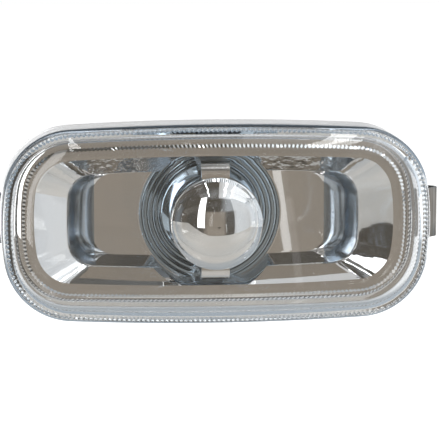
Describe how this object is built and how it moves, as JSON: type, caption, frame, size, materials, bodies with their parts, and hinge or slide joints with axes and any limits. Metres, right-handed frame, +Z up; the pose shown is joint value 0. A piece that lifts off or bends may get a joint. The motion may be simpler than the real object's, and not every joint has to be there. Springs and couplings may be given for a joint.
{
  "type": "vehicle indicator lamp",
  "caption": "Clear oblong side indicator lamp with a fluted lens edge, chrome reflector tray, chrome ball over the bulb, spring clip and a twist-lock bulb holder.",
  "frame": {"origin": "centre of the seat plane, the rear face of the panel gasket where the lamp meets the car's wing", "axes": "+X along the lamp's length towards the spring clip, +Y into the car along the bulb's axis (the lens faces -Y), +Z up"},
  "size_m": [0.0783, 0.045, 0.0354],
  "materials": {
    "lens_clear": "clear moulded acrylic, polished",
    "reflector_chrome": "vacuum-metallised plastic, mirror bright in front, bare grey behind",
    "shield_chrome": "vacuum-metallised plastic, mirror bright",
    "bulb_silver": "silvered bulb glass",
    "wire_metal": "drawn nickel wire",
    "holder_plastic": "fine-grained moulded polyamide",
    "contact_brass": "pressed brass strip",
    "seal_rubber": "moulded rubber",
    "gasket_foam": "closed-cell foam rubber",
    "clip_steel": "tempered spring-steel strip"
  },
  "bodies": {
    "lamp_body": {"lens": "lens_clear", "reflector_housing": "reflector_chrome", "bulb_shield": "shield_chrome", "panel_gasket": "gasket_foam", "spring_clip": "clip_steel"},
    "bulb_carrier": {"bulb_holder": "holder_plastic", "holder_seal": "seal_rubber", "bulb": "bulb_silver", "bulb_lead_wires": "wire_metal", "contact_left": "contact_brass", "contact_right": "contact_brass"}
  },
  "joints": [
    {"name": "holder_twist", "type": "hinge", "parent": "lamp_body", "child": "bulb_carrier", "pos_m": [0, 0.0134, 0], "axis": [0, 1, 0], "range_deg": [0, 40]}
  ]
}
